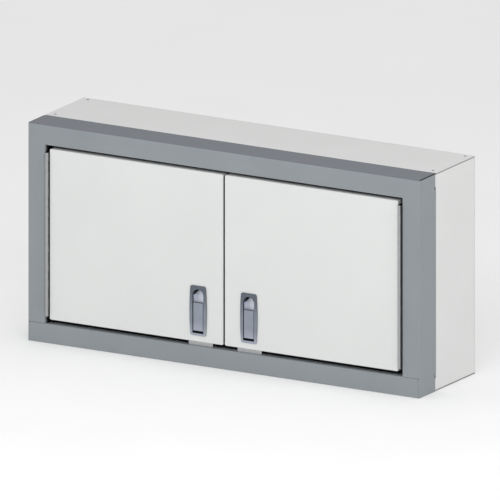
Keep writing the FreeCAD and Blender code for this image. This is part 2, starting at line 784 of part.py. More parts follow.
def opening_seal():
    """Rubber seal on the stop strips, with a lining beside each hinge leaf."""
    stop = FRONT + STOP_DEPTH
    outer_x = RIGHT - STILE_FACE - LEAF_SHEET - SEAL_GAP
    low = BOTTOM + LOW_RAIL_FACE
    high = TOP - TOP_RAIL_FACE
    outside = box((-outer_x, outer_x), (stop - SEAL_THICKNESS, stop), (low, high))
    inside = rounded_block(
        (-outer_x + SEAL_WIDTH, outer_x - SEAL_WIDTH),
        (stop - SEAL_THICKNESS - OVERSHOOT, stop + OVERSHOOT),
        (low + SEAL_WIDTH, high - SEAL_WIDTH),
        Y_AXIS,
        SEAL_CORNER,
    )
    lining = box((outer_x - SEAL_LINING, outer_x), (FRONT + SEAL_LINING_START, stop), (low, high))
    pocket_starts = [point - X_AXIS * RIVET_HEAD_ROOM for point in FRAME_LEAF_POINTS]
    lining = drilled(
        lining, pocket_starts, X_AXIS, HINGE_RIVET_HEAD + RIVET_HEAD_ROOM / 4, RIVET_LENGTH
    )
    seal = fuse([outside.cut(inside), lining, mirrored(lining)])
    return cut_both_sides(seal, [strike_block(SEAL_STRIKE_GAP)])


# ---------------------------------------------------------------- hinges


def knuckle_spans(parity):
    """Start and end heights of every second knuckle."""
    pitch = HINGE_LENGTH / KNUCKLES
    return [
        (HINGE_BOTTOM + index * pitch, HINGE_BOTTOM + (index + 1) * pitch)
        for index in range(KNUCKLES)
        if index % 2 == parity
    ]


def hinge_leaf(direction, surface, depth, parity, rivet_points):
    """Leaf with its knuckles, on the frame side (1) or the door side (-1)."""
    near = HINGE_X + direction * KNUCKLE_RADIUS
    outline = [
        (near, HINGE_Y),
        (near, HINGE_Y + LEAF_NECK),
        (surface, HINGE_Y + LEAF_NECK + LEAF_JOGGLE),
        (surface, HINGE_Y + depth),
    ]
    points = [(x, y, HINGE_BOTTOM) for x, y in outline]
    leaf = bent_sheet(points, LEAF_SHEET, LEAF_BEND, Z_AXIS * HINGE_LENGTH, direction)
    sleeves = []
    gaps = []
    for low, high in knuckle_spans(parity):
        start = Vector(HINGE_X, HINGE_Y, low + KNUCKLE_GAP / 2)
        sleeves.append(rod(start, Z_AXIS, high - low - KNUCKLE_GAP, KNUCKLE_RADIUS))
    for low, high in knuckle_spans(1 - parity):
        start = Vector(HINGE_X, HINGE_Y, low - KNUCKLE_GAP / 2)
        gaps.append(rod(start, Z_AXIS, high - low + KNUCKLE_GAP, KNUCKLE_RADIUS + KNUCKLE_GAP))
    leaf = fuse([leaf.cut(gaps)] + sleeves)
    start = Vector(HINGE_X, HINGE_Y, HINGE_BOTTOM - OVERSHOOT)
    bore = rod(start, Z_AXIS, HINGE_LENGTH + 2 * OVERSHOOT, PIN_RADIUS + PIN_CLEARANCE)
    return through_rivets(leaf.cut(bore), rivet_points, X_AXIS)


def hinge_rivets(points, axis):
    """Rivets through a hinge leaf."""
    return fasteners(
        points, axis, HINGE_RIVET_HEAD, HINGE_RIVET_CROWN, RIVET_SHANK, RIVET_LENGTH
    )


# ---------------------------------------------------------------- doors


def door_pan():
    """Right door's outer pan before any holes."""
    x = (DOOR_INNER_EDGE, DOOR_OUTER_EDGE)
    y = (FRONT, DOOR_BACK)
    z = (DOOR_BOTTOM, DOOR_TOP)
    outside = rounded_block(x, y, z, Y_AXIS, DOOR_CORNER, FRONT, DOOR_BEND)
    inside = rounded_block(
        (x[0] + DOOR_SHEET, x[1] - DOOR_SHEET),
        (y[0] + DOOR_SHEET, y[1] - DOOR_SHEET),
        (z[0] + DOOR_SHEET, z[1] - DOOR_SHEET),
        Y_AXIS,
        DOOR_CORNER - DOOR_SHEET,
        FRONT + DOOR_SHEET,
        DOOR_BEND - DOOR_SHEET,
    )
    window = rounded_block(
        (x[0] + DOOR_LIP, x[1] - DOOR_LIP),
        (DOOR_BACK - 2 * DOOR_SHEET, DOOR_BACK + OVERSHOOT),
        (z[0] + DOOR_LIP, z[1] - DOOR_LIP),
        Y_AXIS,
        WINDOW_CORNER,
    )
    return outside.cut([inside, window])


def door_skin():
    """Outer pan with the latch cut-out, the bolt slot and the hinge rivet holes."""
    cutout = keyhole(RECESS_HALF_WIDTH + CUP_WALL + CUTOUT_GAP, FRONT - OVERSHOOT, 4.0)
    bosses = [
        rod(point - Y_AXIS * 6, Y_AXIS, 7.0, BOSS_RADIUS + BOSS_GAP)
        for point in latch_screw_points()
    ]
    slot = box(
        (LATCH_X - BOLT_HALF_WIDTH - 1, LATCH_X + BOLT_HALF_WIDTH + 1),
        (FRONT + BOLT_DEPTHS[0] - 1, FRONT + BOLT_DEPTHS[1] + 1),
        (DOOR_BOTTOM - OVERSHOOT, DOOR_BOTTOM + 2 * DOOR_SHEET),
    )
    skin = door_pan().cut([cutout, slot] + bosses)
    return through_rivets(skin, DOOR_LEAF_POINTS, X_AXIS)


def door_liner():
    """Inner sheet of the right door, behind the pan's lips."""
    margin = DOOR_SHEET + LINER_GAP
    y = (DOOR_BACK - DOOR_SHEET - LINER_SHEET, DOOR_BACK - DOOR_SHEET)
    return rounded_block(
        (DOOR_INNER_EDGE + margin, DOOR_OUTER_EDGE - margin),
        y,
        (DOOR_BOTTOM + margin, DOOR_TOP - margin),
        Y_AXIS,
        WINDOW_CORNER,
    )


def door_stiffener():
    """Upright hat section between the skin and the liner."""
    skin = FRONT + DOOR_SHEET
    crest = DOOR_BACK - DOOR_SHEET - LINER_SHEET
    outline = [
        (STIFFENER_X - STIFFENER_FOOT, skin),
        (STIFFENER_X - STIFFENER_WALL, skin),
        (STIFFENER_X - STIFFENER_CREST, crest - DOOR_SHEET),
        (STIFFENER_X + STIFFENER_CREST, crest - DOOR_SHEET),
        (STIFFENER_X + STIFFENER_WALL, skin),
        (STIFFENER_X + STIFFENER_FOOT, skin),
    ]
    low = DOOR_BOTTOM + STIFFENER_END_GAP
    height = DOOR_TOP - STIFFENER_END_GAP - low
    points = [(x, y, low) for x, y in outline]
    return bent_sheet(points, DOOR_SHEET, STIFFENER_BEND, Z_AXIS * height, 1)


def door_edge_seal():
    """Rubber strip on the right door's meeting edge."""
    return rounded_block(
        (DOOR_INNER_EDGE - EDGE_SEAL, DOOR_INNER_EDGE),
        (FRONT + EDGE_SEAL_DEPTHS[0], FRONT + EDGE_SEAL_DEPTHS[1]),
        (DOOR_BOTTOM + DOOR_CORNER, DOOR_TOP - DOOR_CORNER),
        Z_AXIS,
        EDGE_SEAL / 4,
    )


# ---------------------------------------------------------------- latches


def latch_screw_points():
    """Places of the four screws of the right latch, on the back of the skin."""
    back = FRONT + DOOR_SHEET + CLAMP_SHEET
    return [
        Vector(LATCH_X + side * offset, back, BOTTOM + height)
        for side in (-1, 1)
        for offset, height in LATCH_SCREW_PLACES
    ]


def keyhole(half_width, start_y, depth):
    """Prism with a straight foot and a round head, grown from the recess outline."""
    grow = half_width - RECESS_HALF_WIDTH
    arch_z = RECESS_TOP - RECESS_HALF_WIDTH
    low = RECESS_BOTTOM - grow
    left = Vector(LATCH_X - half_width, start_y, low)
    right = Vector(LATCH_X + half_width, start_y, low)
    right_spring = Vector(LATCH_X + half_width, start_y, arch_z)
    crown = Vector(LATCH_X, start_y, arch_z + half_width)
    left_spring = Vector(LATCH_X - half_width, start_y, arch_z)
    edges = [
        Part.LineSegment(left, right).toShape(),
        Part.LineSegment(right, right_spring).toShape(),
        Part.Arc(right_spring, crown, left_spring).toShape(),
        Part.LineSegment(left_spring, left).toShape(),
    ]
    return Part.Face(Part.Wire(edges)).extrude(Y_AXIS * depth)


def bowed_plate(start_y, depth, shrink=0.0):
    """Faceplate outline with bowed sides, drawn out backwards."""
    end = PLATE_END_HALF_WIDTH - shrink
    middle_z = (PLATE_BOTTOM + PLATE_TOP) / 2
    low = PLATE_BOTTOM + shrink
    high = PLATE_TOP - shrink
    corners = [
        Vector(LATCH_X - end, start_y, low),
        Vector(LATCH_X + end, start_y, low),
        Vector(LATCH_X + end, start_y, high),
        Vector(LATCH_X - end, start_y, high),
    ]
    right_bow = Vector(LATCH_X + PLATE_HALF_WIDTH - shrink, start_y, middle_z)
    left_bow = Vector(LATCH_X - PLATE_HALF_WIDTH + shrink, start_y, middle_z)
    edges = [
        Part.LineSegment(corners[0], corners[1]).toShape(),
        Part.Arc(corners[1], right_bow, corners[2]).toShape(),
        Part.LineSegment(corners[2], corners[3]).toShape(),
        Part.Arc(corners[3], left_bow, corners[0]).toShape(),
    ]
    plate = Part.Face(Part.Wire(edges)).extrude(Y_AXIS * depth)
    upright = [
        edge
        for edge in plate.Edges
        if edge.Curve.TypeId == "Part::GeomLine" and abs(edge.tangentAt(0).dot(Y_AXIS)) > 0.5
    ]
    return plate.makeFillet(PLATE_CORNER - shrink, upright)


def scoop_wedge(front_y, deep_y_top, deep_y_low, half_width):
    """Block over the scoop whose back slopes from deep at the top to shallow below."""
    outline = [
        (front_y, SCOOP_BOTTOM),
        (deep_y_low, SCOOP_BOTTOM),
        (deep_y_top, RECESS_TOP + OVERSHOOT),
        (front_y, RECESS_TOP + OVERSHOOT),
    ]
    points = [(LATCH_X - half_width, y, z) for y, z in outline]
    return prism(points, X_AXIS * 2 * half_width)


def latch_housing():
    """Faceplate, paddle cup, finger scoop and screw bosses in one casting."""
    face = FRONT - PLATE_PROUD
    plate = bowed_plate(face, PLATE_PROUD - GASKET)
    rim = [
        edge
        for edge in plate.Edges
        if all(abs(vertex.Point.y - face) < 0.001 for vertex in edge.Vertexes)
    ]
    plate = plate.makeFillet(PLATE_RIM, rim)
    cup = keyhole(RECESS_HALF_WIDTH + CUP_WALL, FRONT - GASKET, GASKET + SCOOP_BACK)
    behind_paddle = box(
        (LATCH_X - 40, LATCH_X + 40),
        (FRONT + CUP_FLOOR + CUP_WALL, FRONT + 40),
        (BOTTOM, SCOOP_BOTTOM - CUP_WALL),
    )
    solid = plate.fuse(cup.cut(behind_paddle))
    bosses = [
        rod(Vector(point.x, FRONT - GASKET, point.z), Y_AXIS, GASKET + DOOR_SHEET, BOSS_RADIUS)
        for point in latch_screw_points()
    ]
    solid = solid.multiFuse(bosses).removeSplitter()
    recess = keyhole(RECESS_HALF_WIDTH, face - OVERSHOOT, OVERSHOOT + PLATE_PROUD + 30)
    paddle_space = box(
        (LATCH_X - 40, LATCH_X + 40),
        (face - OVERSHOOT, FRONT + CUP_FLOOR),
        (BOTTOM, SCOOP_BOTTOM + OVERSHOOT),
    )
    scoop_space = scoop_wedge(face - OVERSHOOT, FRONT + SCOOP_DEEP, FRONT + SCOOP_SHALLOW, 40)
    solid = solid.cut([recess.common(paddle_space), recess.common(scoop_space)])
    arm_slot = box(
        (LATCH_X - 4, LATCH_X + 4),
        (FRONT + CUP_FLOOR - OVERSHOOT, FRONT + CUP_FLOOR + 2 * CUP_WALL),
        (PIVOT_Z - 10, PIVOT_Z + 10),
    )
    pivot_start = Vector(LATCH_X - 30, FRONT + PIVOT_DEPTH, PIVOT_Z)
    pivot_hole = rod(pivot_start, X_AXIS, 60, PIVOT_RADIUS + PIN_CLEARANCE)
    solid = solid.cut([arm_slot, pivot_hole])
    return drilled(
        solid,
        [point - Y_AXIS * 4.4 for point in latch_screw_points()],
        Y_AXIS,
        LATCH_SCREW_RADIUS + FASTENER_CLEARANCE,
        6.0,
    )


def latch_gasket():
    """Thin rubber gasket between the faceplate and the door."""
    gasket = bowed_plate(FRONT - GASKET, GASKET, GASKET_INSET)
    opening = keyhole(RECESS_HALF_WIDTH + CUP_WALL + GASKET_HOLE_GAP, FRONT - 2, 4)
    bosses = [
        rod(point - Y_AXIS * 5, Y_AXIS, 6.0, BOSS_RADIUS + GASKET_HOLE_GAP)
        for point in latch_screw_points()
    ]
    return gasket.cut([opening] + bosses)


def latch_clamp():
    """Ring plate that clamps the housing from behind the skin."""
    ring = rounded_block(
        (LATCH_X - CLAMP_HALF_WIDTH, LATCH_X + CLAMP_HALF_WIDTH),
        (FRONT + DOOR_SHEET, FRONT + DOOR_SHEET + CLAMP_SHEET),
        (PLATE_BOTTOM + 1, PLATE_TOP - 1),
        Y_AXIS,
        CLAMP_CORNER,
    )
    ring = ring.cut(keyhole(RECESS_HALF_WIDTH + CUP_WALL + CLAMP_GAP, FRONT, 10.0))
    starts = [point - Y_AXIS * 4 for point in latch_screw_points()]
    return drilled(ring, starts, Y_AXIS, LATCH_SCREW_RADIUS + FASTENER_CLEARANCE, 8.0)


def latch_paddle():
    """Pull blade with its barrel and the arm that lifts the bolt."""
    front = FRONT - PLATE_PROUD + PADDLE_SINK
    back = front + PADDLE_SHEET
    x = (LATCH_X - PADDLE_HALF_WIDTH, LATCH_X + PADDLE_HALF_WIDTH)
    z = (PADDLE_BOTTOM, PADDLE_TOP)
    blade = rounded_block(x, (front, back), z, Y_AXIS, PADDLE_CORNER, front, PADDLE_RIM)
    pivot = Vector(LATCH_X, FRONT + PIVOT_DEPTH, PIVOT_Z)
    barrel_x = (LATCH_X - PADDLE_HALF_WIDTH + 1, LATCH_X + PADDLE_HALF_WIDTH - 1)
    barrel_start = Vector(barrel_x[0], pivot.y, pivot.z)
    barrel = rod(barrel_start, X_AXIS, barrel_x[1] - barrel_x[0], BARREL_RADIUS)
    web = box(
        barrel_x,
        (back - 0.5, pivot.y),
        (pivot.z - BARREL_RADIUS + 0.4, pivot.z + BARREL_RADIUS - 0.4),
    )
    angle = math.radians(ARM_REST_ANGLE)
    neck = box(
        (LATCH_X - ARM_THICKNESS / 2, LATCH_X + ARM_THICKNESS / 2),
        (pivot.y, pivot.y + ARM_LENGTH),
        (pivot.z - ARM_NECK / 2, pivot.z + ARM_NECK / 2),
    )
    neck.rotate(pivot, X_AXIS, -ARM_REST_ANGLE)
    tip_start = Vector(
        LATCH_X - ARM_THICKNESS / 2,
        pivot.y + ARM_LENGTH * math.cos(angle),
        pivot.z - ARM_LENGTH * math.sin(angle),
    )
    tip = rod(tip_start, X_AXIS, ARM_THICKNESS, ARM_TIP_RADIUS)
    paddle = fuse([blade, web, barrel, neck, tip])
    bore = rod(pivot - X_AXIS * 30, X_AXIS, 60, PIVOT_RADIUS + PIN_CLEARANCE)
    return paddle.cut(bore)


def latch_pivot_pin():
    """Pin through the cup walls and the paddle's barrel."""
    reach = RECESS_HALF_WIDTH + CUP_WALL
    start = Vector(LATCH_X - reach, FRONT + PIVOT_DEPTH, PIVOT_Z)
    return rod(start, X_AXIS, 2 * reach, PIVOT_RADIUS)


def latch_bolt():
    """Upright bolt with a window for the arm, a bevelled tip and a spring stem."""
    depths = (FRONT + BOLT_DEPTHS[0], FRONT + BOLT_DEPTHS[1])
    x = (LATCH_X - BOLT_HALF_WIDTH, LATCH_X + BOLT_HALF_WIDTH)
    bar = box(x, depths, (BOLT_TIP, BOLT_SHOULDER))
    bevel = [
        (x[0] - 1, depths[0] - 1, BOLT_TIP - 1),
        (x[0] - 1, depths[1] + 1, BOLT_TIP - 1),
        (x[0] - 1, depths[1] + 1, BOLT_TIP + BOLT_BEVEL),
    ]
    bar = bar.cut(prism(bevel, X_AXIS * (2 * BOLT_HALF_WIDTH + 2)))
    middle = PIVOT_Z - ARM_LENGTH * math.sin(math.radians(ARM_REST_ANGLE))
    reach = ARM_TIP_RADIUS + ARM_PLAY
    window = box(
        (LATCH_X - ARM_THICKNESS / 2 - ARM_SIDE_PLAY, LATCH_X + ARM_THICKNESS / 2 + ARM_SIDE_PLAY),
        (depths[0] - 1, depths[1] + 1),
        (middle - reach, middle + reach),
    )
    stem_start = Vector(LATCH_X, BOLT_MIDDLE, BOLT_SHOULDER - 1)
    stem_length = SPRING_TOP - 2 - BOLT_SHOULDER
    stem = rod(stem_start, Z_AXIS, stem_length, STEM_RADIUS)
    return fuse([bar.cut(window), stem])


def latch_bolt_guide():
    """Bracket on the back of the cup with two sleeves for the bolt and a spring stop."""
    start_y = FRONT + CUP_FLOOR + CUP_WALL
    plate_y = (start_y, start_y + GUIDE_WALL)
    half = GUIDE_HALF_WIDTH
    pieces = [
        box((LATCH_X - half, LATCH_X + half), plate_y, (PIVOT_Z + 12, SPRING_TOP + 3)),
        box((LATCH_X - half, LATCH_X + half), plate_y, (GUIDE_BOTTOM, PIVOT_Z - 11)),
        box((LATCH_X - half, LATCH_X - half + GUIDE_STRIP), plate_y, (GUIDE_BOTTOM, SPRING_TOP)),
        box((LATCH_X + half - GUIDE_STRIP, LATCH_X + half), plate_y, (GUIDE_BOTTOM, SPRING_TOP)),
    ]
    sleeve_half = BOLT_HALF_WIDTH + SLIDE_CLEARANCE + GUIDE_WALL
    sleeve_x = (LATCH_X - sleeve_half, LATCH_X + sleeve_half)
    sleeve_y = (start_y, FRONT + BOLT_DEPTHS[1] + SLIDE_CLEARANCE + GUIDE_WALL)
    for low in (GUIDE_BOTTOM + 1, PIVOT_Z + 14):
        pieces.append(box(sleeve_x, sleeve_y, (low, low + SLEEVE_HEIGHT)))
    pieces.append(box(sleeve_x, sleeve_y, (SPRING_TOP, SPRING_TOP + GUIDE_WALL)))
    half_passage = BOLT_HALF_WIDTH + SLIDE_CLEARANCE
    passage = box(
        (LATCH_X - half_passage, LATCH_X + half_passage),
        (FRONT + BOLT_DEPTHS[0] - SLIDE_CLEARANCE, FRONT + BOLT_DEPTHS[1] + SLIDE_CLEARANCE),
        (BOTTOM, PIVOT_Z + 30),
    )
    stem_start = Vector(LATCH_X, BOLT_MIDDLE, SPRING_TOP - 1)
    stem_hole = rod(stem_start, Z_AXIS, 5, STEM_RADIUS + SLIDE_CLEARANCE)
    return fuse(pieces).cut([passage, stem_hole])


def latch_screws():
    """Four screws that draw the faceplate onto the door."""
    head = rod(ORIGIN, Z_AXIS * -1, LATCH_SCREW_CROWN, LATCH_SCREW_HEAD)
    shank = rod(Z_AXIS * -0.5, Z_AXIS, 4.3, LATCH_SCREW_RADIUS)
    one = head.fuse(shank).removeSplitter()
    turn = FreeCAD.Rotation(Z_AXIS, Y_AXIS * -1)
    pieces = []
    for point in latch_screw_points():
        piece = one.copy()
        piece.Placement = FreeCAD.Placement(point, turn)
        pieces.append(piece)
    return Part.makeCompound(pieces)


def latch_spring():
    """Coil spring round the bolt's stem, from the shoulder to the stop."""
    height = SPRING_TOP - BOLT_SHOULDER - 2 * SPRING_WIRE - 0.2
    helix = Part.makeHelix(height / SPRING_TURNS, height, SPRING_RADIUS)
    start = Vector(SPRING_RADIUS, 0, 0)
    section = Part.Wire(Part.makeCircle(SPRING_WIRE, start, Y_AXIS))
    spring = Part.Wire(helix).makePipeShell([section], True, True)
    spring.translate(Vector(LATCH_X, BOLT_MIDDLE, BOLT_SHOULDER + SPRING_WIRE + 0.1))
    return spring


def flush_fasteners(points, axis, head_radius):
    """Fasteners whose heads lie level with the surface that the points are on."""
    sunk = [point + axis * FLUSH_HEAD for point in points]
    return fasteners(sunk, axis, head_radius, FLUSH_HEAD, RIVET_SHANK, RIVET_LENGTH)


def flush_seats(shape, points, axis, head_radius):
    """Shape with shallow round seats for flush heads."""
    return drilled(shape, points, axis, head_radius + FASTENER_CLEARANCE, FLUSH_HEAD)


def save_root():
    """Everything that stays still when the doors move."""
    save_pair("frame_stile_{side}", frame_stile())
    save("frame_top_rail", frame_top_rail())
    save("frame_bottom_rail", frame_bottom_rail())
    save("frame_stops", frame_stops())
    save("frame_corner_gussets", frame_gussets())
    save(
        "frame_rivets",
        fasteners(
            FRAME_RIVET_POINTS,
            Y_AXIS * -1,
            FRAME_RIVET_HEAD,
            FRAME_RIVET_CROWN,
            RIVET_SHANK,
            RIVET_LENGTH,
        ),
    )
    save_pair("side_panel_{side}", body_side())
    lid = body_lid()
    save("top_panel", lid)
    save("bottom_panel", upside_down(lid))
    save("top_panel_rivets", flush_fasteners(LID_POINTS, Z_AXIS * -1, LID_HEAD_RADIUS))
    save("bottom_panel_rivets", flush_fasteners(lower_lid_points(), Z_AXIS, LID_HEAD_RADIUS))
    save("back_panel", back_panel())
    save(
        "back_panel_rivets",
        flush_fasteners(BACK_RIVET_POINTS, Y_AXIS * -1, BACK_HEAD_RADIUS),
    )
    rail = hanging_rail()
    save("hanging_rail_upper", rail)
    save("hanging_rail_lower", upside_down(rail))
    save("shelf", shelf())
    save("shelf_pilasters", pilasters())
    save("shelf_clips", shelf_clips())
    save("opening_seal", opening_seal())
    save_pair("strike_{side}", strike())
    save("strike_screws", strike_screws())
    save_pair(
        "hinge_{side}_frame_leaf",
        hinge_leaf(1, RIGHT - STILE_FACE, FRAME_LEAF_DEPTH, 0, FRAME_LEAF_POINTS),
    )
    save_pair("hinge_{side}_frame_rivets", hinge_rivets(FRAME_LEAF_POINTS, X_AXIS))
    pin_start = Vector(HINGE_X, HINGE_Y, HINGE_BOTTOM)
    save_pair("hinge_{side}_pin", rod(pin_start, Z_AXIS, HINGE_LENGTH, PIN_RADIUS))


def save_doors():
    """The doors, with their hinge leaves and latches."""
    save_pair("door_{side}_skin", door_skin())
    save_pair("door_{side}_liner", door_liner())
    save_pair("door_{side}_stiffener", door_stiffener())
    save_pair("door_{side}_edge_seal", door_edge_seal())
    save_pair(
        "hinge_{side}_door_leaf",
        hinge_leaf(-1, DOOR_OUTER_EDGE, DOOR_LEAF_DEPTH, 1, DOOR_LEAF_POINTS),
    )
    save_pair("hinge_{side}_door_rivets", hinge_rivets(DOOR_LEAF_POINTS, X_AXIS * -1))
    save_pair("latch_{side}_housing", latch_housing())
    save_pair("latch_{side}_gasket", latch_gasket())
    save_pair("latch_{side}_clamp", latch_clamp())
    save_pair("latch_{side}_screws", latch_screws())
    save_pair("latch_{side}_pivot_pin", latch_pivot_pin())
    save_pair("latch_{side}_bolt_guide", latch_bolt_guide())
    save_pair("latch_{side}_spring", latch_spring())
    save_pair("latch_{side}_paddle", latch_paddle())
    save_pair("latch_{side}_bolt", latch_bolt())


os.makedirs("parts", exist_ok=True)
save_root()
save_doors()
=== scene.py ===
import json
import math

import bpy
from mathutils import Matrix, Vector


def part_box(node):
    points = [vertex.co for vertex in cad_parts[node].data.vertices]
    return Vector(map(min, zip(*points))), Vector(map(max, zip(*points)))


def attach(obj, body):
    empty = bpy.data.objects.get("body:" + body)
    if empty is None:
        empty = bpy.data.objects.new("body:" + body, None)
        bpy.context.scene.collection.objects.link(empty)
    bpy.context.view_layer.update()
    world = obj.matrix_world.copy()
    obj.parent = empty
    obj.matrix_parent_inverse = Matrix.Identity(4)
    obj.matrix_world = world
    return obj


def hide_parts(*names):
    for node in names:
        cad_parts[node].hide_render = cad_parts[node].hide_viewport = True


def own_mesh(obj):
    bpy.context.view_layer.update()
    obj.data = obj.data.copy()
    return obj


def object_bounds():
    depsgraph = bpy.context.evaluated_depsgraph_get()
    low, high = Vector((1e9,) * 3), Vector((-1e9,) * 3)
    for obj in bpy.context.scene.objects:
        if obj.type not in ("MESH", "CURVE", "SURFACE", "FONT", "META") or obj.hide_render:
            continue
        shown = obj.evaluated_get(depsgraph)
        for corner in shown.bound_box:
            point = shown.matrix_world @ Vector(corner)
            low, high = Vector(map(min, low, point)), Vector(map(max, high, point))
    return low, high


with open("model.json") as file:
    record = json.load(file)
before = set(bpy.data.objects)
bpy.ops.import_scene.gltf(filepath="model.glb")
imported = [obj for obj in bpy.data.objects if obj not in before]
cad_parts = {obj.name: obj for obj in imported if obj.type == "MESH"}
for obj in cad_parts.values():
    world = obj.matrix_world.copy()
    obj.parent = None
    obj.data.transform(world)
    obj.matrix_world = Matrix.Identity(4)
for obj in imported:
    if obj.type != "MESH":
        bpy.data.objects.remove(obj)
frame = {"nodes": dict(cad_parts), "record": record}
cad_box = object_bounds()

SLOT_OF_NODE = {part["node"]: part["material_slot"] for part in frame["record"]["subparts"]}

# ---------------------------------------------------------------- places, in metres

low, high = (Vector(corner) for corner in cad_box)
centre = (low + high) / 2
BOTTOM = low.z
TOP = high.z
RIGHT = high.x
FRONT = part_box("frame_top_rail")[0][1]

# The right latch; the left one is its mirror image
plate_low, plate_high = (Vector(corner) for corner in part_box("latch_right_housing"))
PLATE_FRONT = plate_low.y
PLATE_BOTTOM = plate_low.z
PLATE_TOP = plate_high.z
LATCH_X = (plate_low.x + plate_high.x) / 2
PADDLE_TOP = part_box("latch_right_paddle")[1][2]
SCOOP_MIDDLE = PADDLE_TOP + 0.004
SCOOP_HALF_HEIGHT = 0.028
SCOOP_HALF_WIDTH = 0.021
SCOOP_RIM = FRONT + 0.003

# Where each painted shade and painted light begins and where it is full
# Painted shade on the frame's top flange
TOP_SHADE_HEIGHT = (TOP - 0.0022, TOP - 0.0006)
# Painted shadow in the frame's open corner gaps
CORNER_GAP_SIDE = (RIGHT - 0.0027, RIGHT - 0.0021)
CORNER_GAP_HEIGHT = (TOP - 0.0031, TOP - 0.0025)
CORNER_GAP_DEPTH = (FRONT + 0.003, FRONT + 0.005)
# Painted shade in the seams where the top and bottom panels lap the sides
SEAM_INNER_EDGE = (TOP - 0.0050, TOP - 0.0036)
SEAM_OUTER_EDGE = (TOP - 0.0009, TOP - 0.0012)
# Painted shade on the hinge leaves behind the front plane
LEAF_DEPTH = (FRONT - 0.0018, FRONT - 0.0004)
# Painted shade on the faceplate's upper part, painted light on its lower part and on the paddle's
# lower end
PLATE_HIGH_PART = (PLATE_BOTTOM + 0.060, PLATE_TOP - 0.008)
PLATE_LOW_PART = (PLATE_BOTTOM + 0.040, PLATE_BOTTOM)
PADDLE_LOW_PART = (PLATE_BOTTOM + 0.045, PLATE_BOTTOM + 0.012)
# Painted shade inside the latch's cup
CUP_DEPTH = (PLATE_FRONT + 0.0008, PLATE_FRONT + 0.0024)
# Painted light inside the scoop above the paddle
SCOOP_DEPTH = (SCOOP_RIM, SCOOP_RIM + 0.0012)
ABOVE_PADDLE = (PADDLE_TOP - 0.004, PADDLE_TOP)
# The scoop's rim, in squares of the dome's half size
SCOOP_EDGE = (1.05, 0.92)

# ---------------------------------------------------------------- colours and patterns

GREY_PAINT = (0.268, 0.290, 0.308)
# Painted shade: the frame grey darkened for its top flange
TOP_SHADE_GREY = (0.173, 0.185, 0.209)
DOOR_WHITE = (0.717, 0.729, 0.720)
BODY_WHITE = (0.722, 0.727, 0.718)
# Painted shadow for the frame's open corner gaps
CORNER_GAP_SHADOW = (0.02, 0.02, 0.022)
# Painted shade for the panel seams
SEAM_SHADE = (0.30, 0.30, 0.30)
ALLOY = (0.235, 0.262, 0.308)
# Painted shade for the faceplate's upper part
ALLOY_TOP_SHADE = (0.122, 0.141, 0.168)
# Painted light for the lower parts of the faceplate and the paddle
ALLOY_BOTTOM_LIGHT = (0.37, 0.395, 0.47)
PADDLE_LIGHTNESS = 1.22
# Painted light for the scoop
SCOOP_PAINTED_LIGHT = (0.72, 0.76, 0.85)
# Painted shade for the latch's cup
CUP_SHADE = (0.012, 0.014, 0.022)
HINGE_GREY = (0.42, 0.43, 0.44)
# Painted shade for the hinge leaves
LEAF_SHADE = (0.06, 0.06, 0.06)
ZINC_GREY = (0.50, 0.51, 0.52)
RIVET_BLACK = (0.03, 0.03, 0.033)
RUBBER_BLACK = (0.008, 0.008, 0.009)

# Most of a noise pattern's values lie between these two
NOISE_LOW = 0.3
NOISE_HIGH = 0.7
PEEL_DEPTH = 0.00003
GRIT_DEPTH = PEEL_DEPTH / 4
GRAIN_DEPTH = 0.00004
BLAST_DEPTH = 0.00003
PORE_DEPTH = 0.00005
GRAIN_DRIFT = 0.06
CAST_DRIFT = 0.05
# How far the roughness goes below and above its middle value
POWDER_SPECKLE = 0.05
CAST_SPECKLE = 0.06
GRAIN_GLOSS = 0.06
GRAIN_MATT = 0.08
RUBBER_ROUGHNESS = (0.7, 0.9)

# ---------------------------------------------------------------- node helpers


def new_material(name):
    """Node material with a Principled shader; returns it, its tree and the shader."""
    material = bpy.data.materials.new(name)
    material.use_nodes = True
    tree = material.node_tree
    return material, tree, tree.nodes["Principled BSDF"]


def add(tree, kind, **settings):
    """Adds a node; settings are its attributes."""
    node = tree.nodes.new(kind)
    for key, value in settings.items():
        setattr(node, key, value)
    return node


def object_coordinates(tree, stretch=(1, 1, 1)):
    """Position in the frame's metres, stretched along its axes."""
    where = add(tree, "ShaderNodeTexCoord")
    mapping = add(tree, "ShaderNodeMapping")
    mapping.inputs["Scale"].default_value = stretch
    tree.links.new(where.outputs["Object"], mapping.inputs["Vector"])
    return mapping.outputs["Vector"]


def coordinate(tree, axis):
    """One coordinate, in the frame's metres."""
    where = add(tree, "ShaderNodeTexCoord")
    split = add(tree, "ShaderNodeSeparateXYZ")
    tree.links.new(where.outputs["Object"], split.inputs["Vector"])
    return split.outputs[axis]


def noise(tree, vector, scale, detail=2.0, roughness=0.5):
    """Noise pattern read at a position."""
    node = add(tree, "ShaderNodeTexNoise")
    node.inputs["Scale"].default_value = scale
    node.inputs["Detail"].default_value = detail
    node.inputs["Roughness"].default_value = roughness
    tree.links.new(vector, node.inputs["Vector"])
    return node.outputs["Fac"]


def ramp(tree, factor, stops):
    """Colour ramp; stops are pairs of position and colour."""
    node = add(tree, "ShaderNodeValToRGB")
    elements = node.color_ramp.elements
    while len(elements) < len(stops):
        elements.new(1.0)
    for element, (position, color) in zip(elements, stops):
        element.position = position
        element.color = (*color, 1.0)
    tree.links.new(factor, node.inputs["Fac"])
    return node.outputs["Color"]


def remap(tree, value, start, end, low_value, high_value, smooth=False):
    """Change from one number to another between two values of an input."""
    kind = "SMOOTHSTEP" if smooth else "LINEAR"
    node = add(tree, "ShaderNodeMapRange", interpolation_type=kind)
    names = ("From Min", "From Max", "To Min", "To Max")
    for name, number in zip(names, (start, end, low_value, high_value)):
        node.inputs[name].default_value = number
    tree.links.new(value, node.inputs["Value"])
    return node.outputs["Result"]


